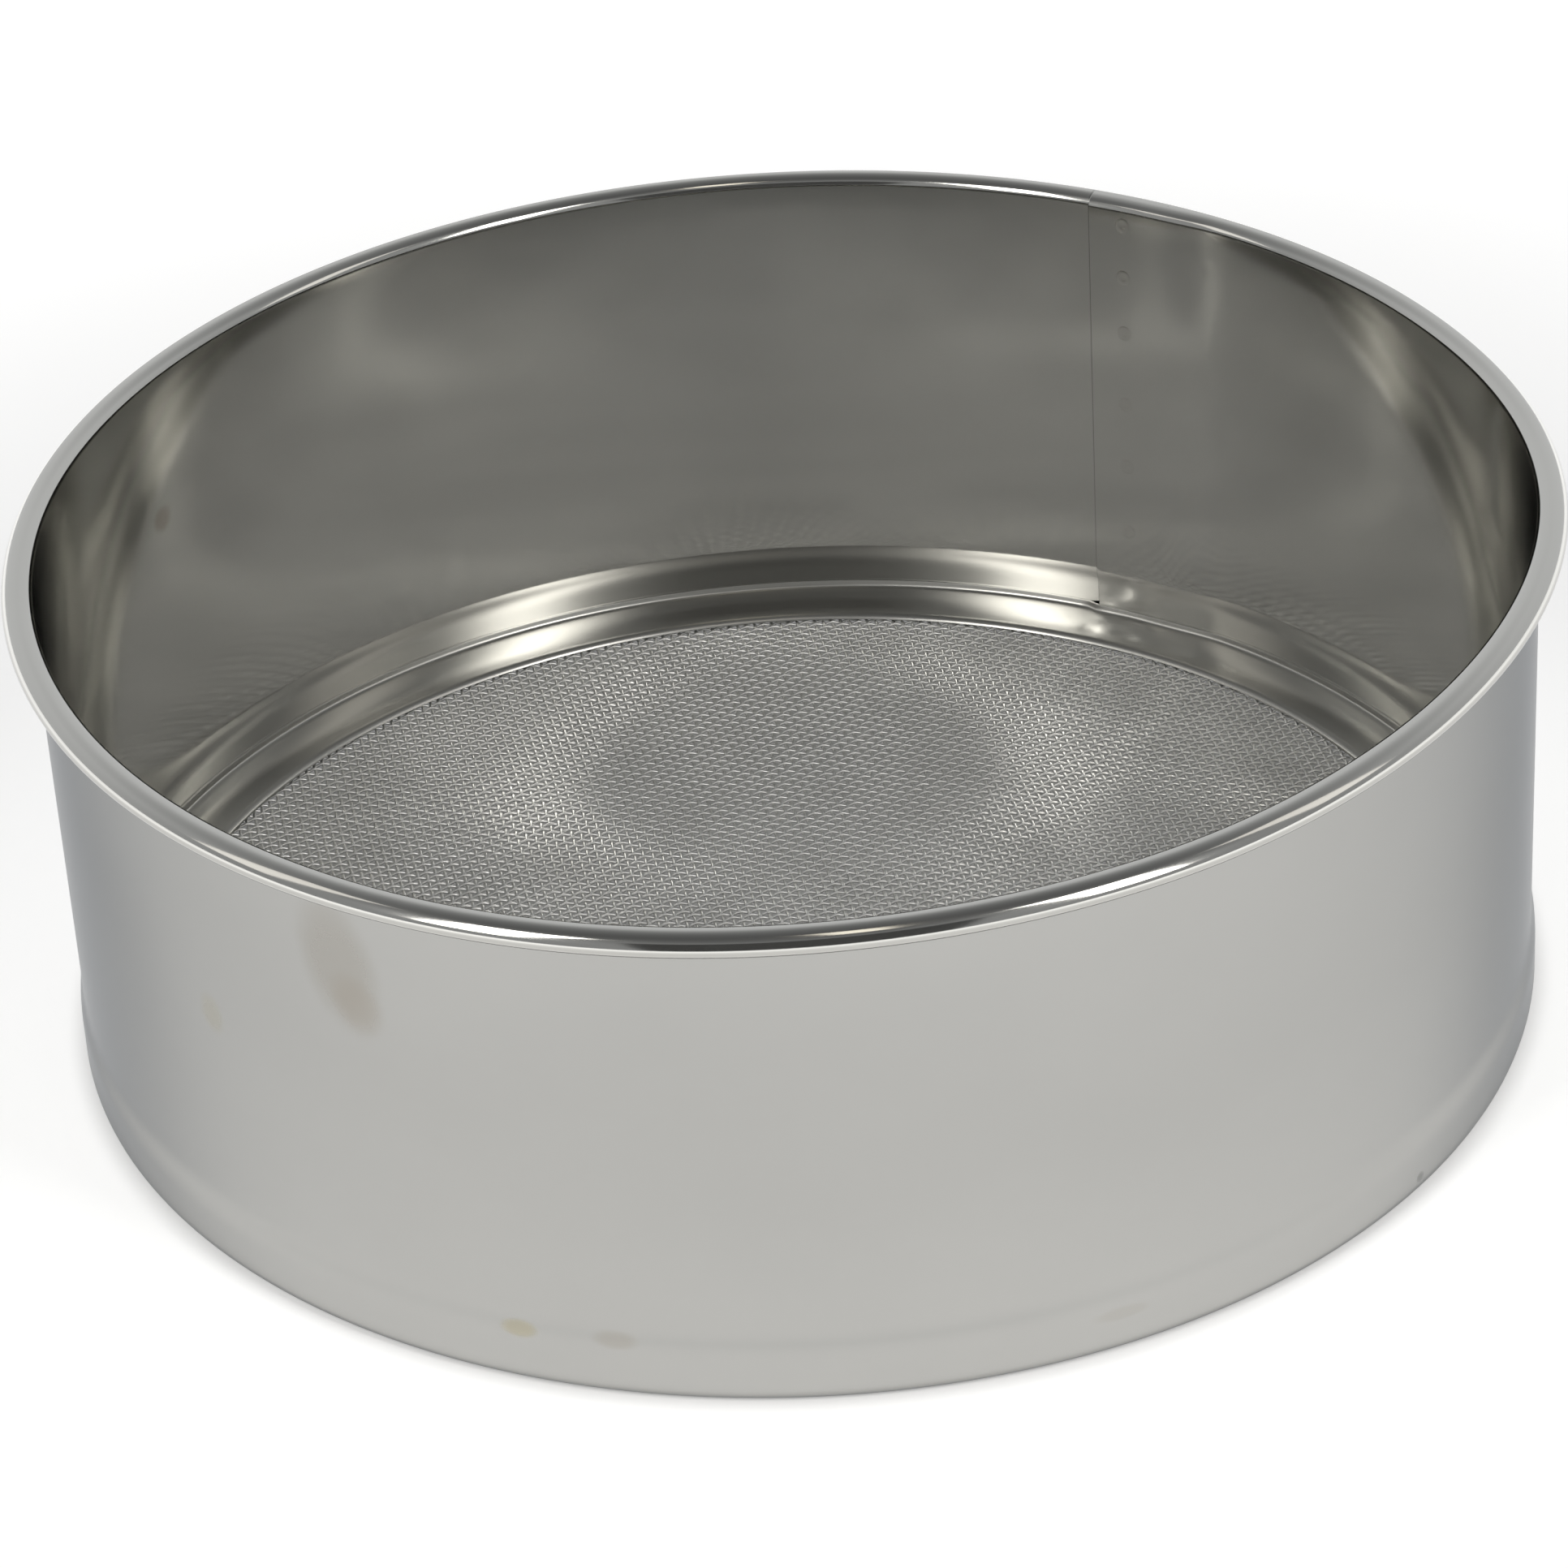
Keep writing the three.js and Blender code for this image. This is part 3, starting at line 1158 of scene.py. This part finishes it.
@dataclass
class Studio:
    """The plain pale table, the soft light and the camera."""

    floor_finish: FloorFinish = FloorFinish()
    floor_radius: float = 8.0
    floor_gap: float = 0.02 * MM
    floor_sides: int = 96
    # The surround's strengths, and the parts of a direction, up and back, over which they change
    zenith: float = 0.14
    horizon: float = 0.4
    fall: tuple[float, float] = (0.45, 1.0)
    behind: float = 2.0
    behind_rise: tuple[float, float] = (-0.3, 0.8)
    sky: Colour = (0.97, 0.985, 1.0)
    lamps: tuple[Softbox, ...] = (
        Softbox("right_softbox", -44.5, 7.4, SOFT_WHITE),
        Softbox("left_softbox", -134.5, 7.4, SOFT_WHITE),
        Softbox("right_side", -8.0, 0.95, CREAM, height=0.6),
        Softbox("left_side", -171.0, 0.95, CREAM, height=0.6),
        Softbox("warm_lamp", -79.0, 1.7, AMBER, elevation=66.0, width=0.11, height=0.3),
    )
    card_azimuth: float = -89.5
    card_elevation: float = 24.0
    card_distance: float = 1.15
    card_size: tuple[float, float] = (0.86, 0.8)
    card_colour: Colour = (0.12, 0.12, 0.12)
    lens: float = 126.96
    sensor: float = 36.0
    camera_place: tuple[float, float, float] = (-1.807 * MM, -622.883 * MM, 410.298 * MM)
    camera_elevation: float = 31.572
    camera_roll: float = -3.379

    def stage(self, name: str, made: bmesh.types.BMesh, finish: bpy.types.Material) -> bpy.types.Object:
        """Makes a thing of the studio, which is no part of the sieve.

        Args:
            name: Its name.
            made: Its mesh, which is used up.
            finish: Its material.

        Returns:
            The new object.
        """
        mesh = bpy.data.meshes.new(name)
        made.to_mesh(mesh)
        made.free()
        mesh.materials.append(finish)
        item = bpy.data.objects.new(name, mesh)
        bpy.context.scene.collection.objects.link(item)
        return item

    def table(self) -> None:
        """Lays the round table top just under the sieve."""
        made = bmesh.new()
        bmesh.ops.create_circle(
            made, cap_ends=True, segments=self.floor_sides, radius=self.floor_radius
        )
        bmesh.ops.translate(made, verts=made.verts, vec=(0.0, 0.0, -self.floor_gap))
        self.stage("table", made, self.floor_finish.material())

    def dark_card(self) -> None:
        """Hangs a dark card behind the camera, which shows only as a dark stripe in the steel."""
        finish = bpy.data.materials.new("dark_card")
        finish.use_nodes = True
        shader = Shader(finish.node_tree)
        matt = shader.node("BsdfDiffuse", inputs={"Color": rgba(self.card_colour)})
        shader.node("OutputMaterial", inputs={"Surface": matt})
        made = bmesh.new()
        # A square one metre wide, which then gets the card's size
        bmesh.ops.create_grid(made, x_segments=1, y_segments=1, size=0.5)
        bmesh.ops.scale(made, verts=made.verts, vec=(*self.card_size, 1.0))
        place = facing_in(self.card_azimuth, self.card_elevation, self.card_distance)
        bmesh.ops.transform(made, matrix=place, verts=made.verts)
        card = self.stage("dark_card", made, finish)
        card.visible_camera = False

    def surround(self) -> None:
        """Makes the pale surround, darker overhead than around, and brighter behind the sieve."""
        world = bpy.data.worlds.new("surround")
        world.use_nodes = True
        bpy.context.scene.world = world
        shader = Shader(world.node_tree)
        way = shader.node("TexCoord", output="Generated")
        height = shader.node("SeparateXYZ", inputs={"Vector": way}, output="Z")
        back = shader.node("SeparateXYZ", inputs={"Vector": way}, output="Y")
        level = shader.rise(height, *self.fall) * (self.zenith - self.horizon) + self.horizon
        level = level * (1.0 + shader.rise(back, *self.behind_rise) * (self.behind - 1.0))
        glow = shader.node("Background", inputs={"Color": rgba(self.sky), "Strength": level})
        shader.node("OutputWorld", inputs={"Surface": glow})

    def camera(self) -> None:
        """Sets the camera up as the photograph was taken."""
        lens = bpy.data.cameras.new("camera")
        lens.lens = self.lens
        lens.sensor_width = self.sensor
        rise = math.radians(self.camera_elevation)
        back = Vector((0.0, -math.cos(rise), math.sin(rise)))
        right = Vector((1.0, 0.0, 0.0))
        axes = Matrix((right, back.cross(right), back)).transposed().to_4x4()
        roll = Matrix.Rotation(math.radians(self.camera_roll), 4, "Z")
        item = bpy.data.objects.new("camera", lens)
        item.matrix_world = Matrix.Translation(self.camera_place) @ axes @ roll
        bpy.context.scene.collection.objects.link(item)
        bpy.context.scene.camera = item

    def build(self) -> None:
        """Sets the studio up."""
        self.camera()
        self.table()
        self.dark_card()
        self.surround()
        for lamp in self.lamps:
            lamp.build()
        bpy.context.scene.view_settings.view_transform = "Standard"


BROWN = (0.30, 0.24, 0.17)
STRAW = (0.42, 0.38, 0.26)
GREY = (0.30, 0.30, 0.29)
SMOKE = (0.30, 0.27, 0.225)

OUTER_SHEET = SheetFinish(
    name="satin_sheet_outside",
    colour=(0.448, 0.445, 0.43),
    roughness=0.24,
    edge_tint=(0.54, 0.555, 0.58),
    stains_and_painted_shade=(
        StainOrPaintedShade(-124.4, 56.0 * MM, 6.2 * MM, 10.0 * MM, SMOKE, 0.36, lean=-0.16, ragged=0.2),
        StainOrPaintedShade(-123.2, 51.0 * MM, 4.2 * MM, 4.6 * MM, BROWN, 0.2, lean=-0.16, ragged=0.25),
        StainOrPaintedShade(-138.4, 39.5 * MM, 2.4 * MM, 3.2 * MM, STRAW, 0.25),
        StainOrPaintedShade(-112.8, 7.9 * MM, 2.6 * MM, 1.3 * MM, STRAW, 0.6),
        StainOrPaintedShade(-105.4, 8.3 * MM, 3.2 * MM, 1.4 * MM, BROWN, 0.22),
        StainOrPaintedShade(-39.7, 2.6 * MM, 0.9 * MM, 0.8 * MM, GREY, 0.8),
        StainOrPaintedShade(-68.9, 5.8 * MM, 4.0 * MM, 1.0 * MM, BROWN, 0.12),
    ),
    rib_depth=0.012 * MM,
    rib_pitch=1.18 * MM,
    rib_turn=10.5,
)
INNER_SHEET = SheetFinish(
    name="bright_sheet_inside",
    colour=(0.525, 0.52, 0.495),
    roughness=0.11,
    stains_and_painted_shade=(
        StainOrPaintedShade(152.0, 48.3 * MM, 2.6 * MM, 2.2 * MM, BROWN, 0.4),
        # Painted shade: the dark line of shadow along the edge of the lap
        StainOrPaintedShade(61.4, 35.0 * MM, 0.22 * MM, 60.0 * MM, GREY, 0.5, ragged=0.2),
    ),
)
RING_SHEET = SheetFinish(name="bright_ring", colour=(0.44, 0.436, 0.414), roughness=0.3)
WELD = SheetFinish(name="weld_marks", colour=(0.52, 0.512, 0.485), roughness=0.2)
SCREEN_WIRE = WireFinish("screen_wire", (0.8, 0.8, 0.785), (0.7, 0.7, 0.685), 0.42)
RIM_CORE = WireFinish("rim_core", (0.5, 0.5, 0.49), (0.36, 0.35, 0.33), 0.32)


def main() -> None:
    """Builds the sieve and its studio."""
    logging.basicConfig(level=logging.INFO, format="%(name)s %(message)s")
    Studio().build()
    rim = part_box(Node.HOOP.value)[1]
    trueness = Trueness()
    # Rounded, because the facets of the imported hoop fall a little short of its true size
    hoop = Hoop(OUTER_SHEET, INNER_SHEET, trueness, rim_radius=round(rim.x, 4), height=round(rim.z, 3))
    hoop.build()
    SpotWelds(WELD, face=hoop.wall - 1.5 * hoop.sheet - hoop.lap_gap).build()
    RimWire(RIM_CORE, trueness, *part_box(Node.RIM_WIRE.value)).build()
    ClampRing(RING_SHEET, *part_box(Node.CLAMP_RING.value)).build()
    WireScreen(SCREEN_WIRE, *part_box(Node.MESH_SCREEN.value)).build()


if __name__ == "__main__":
    main()
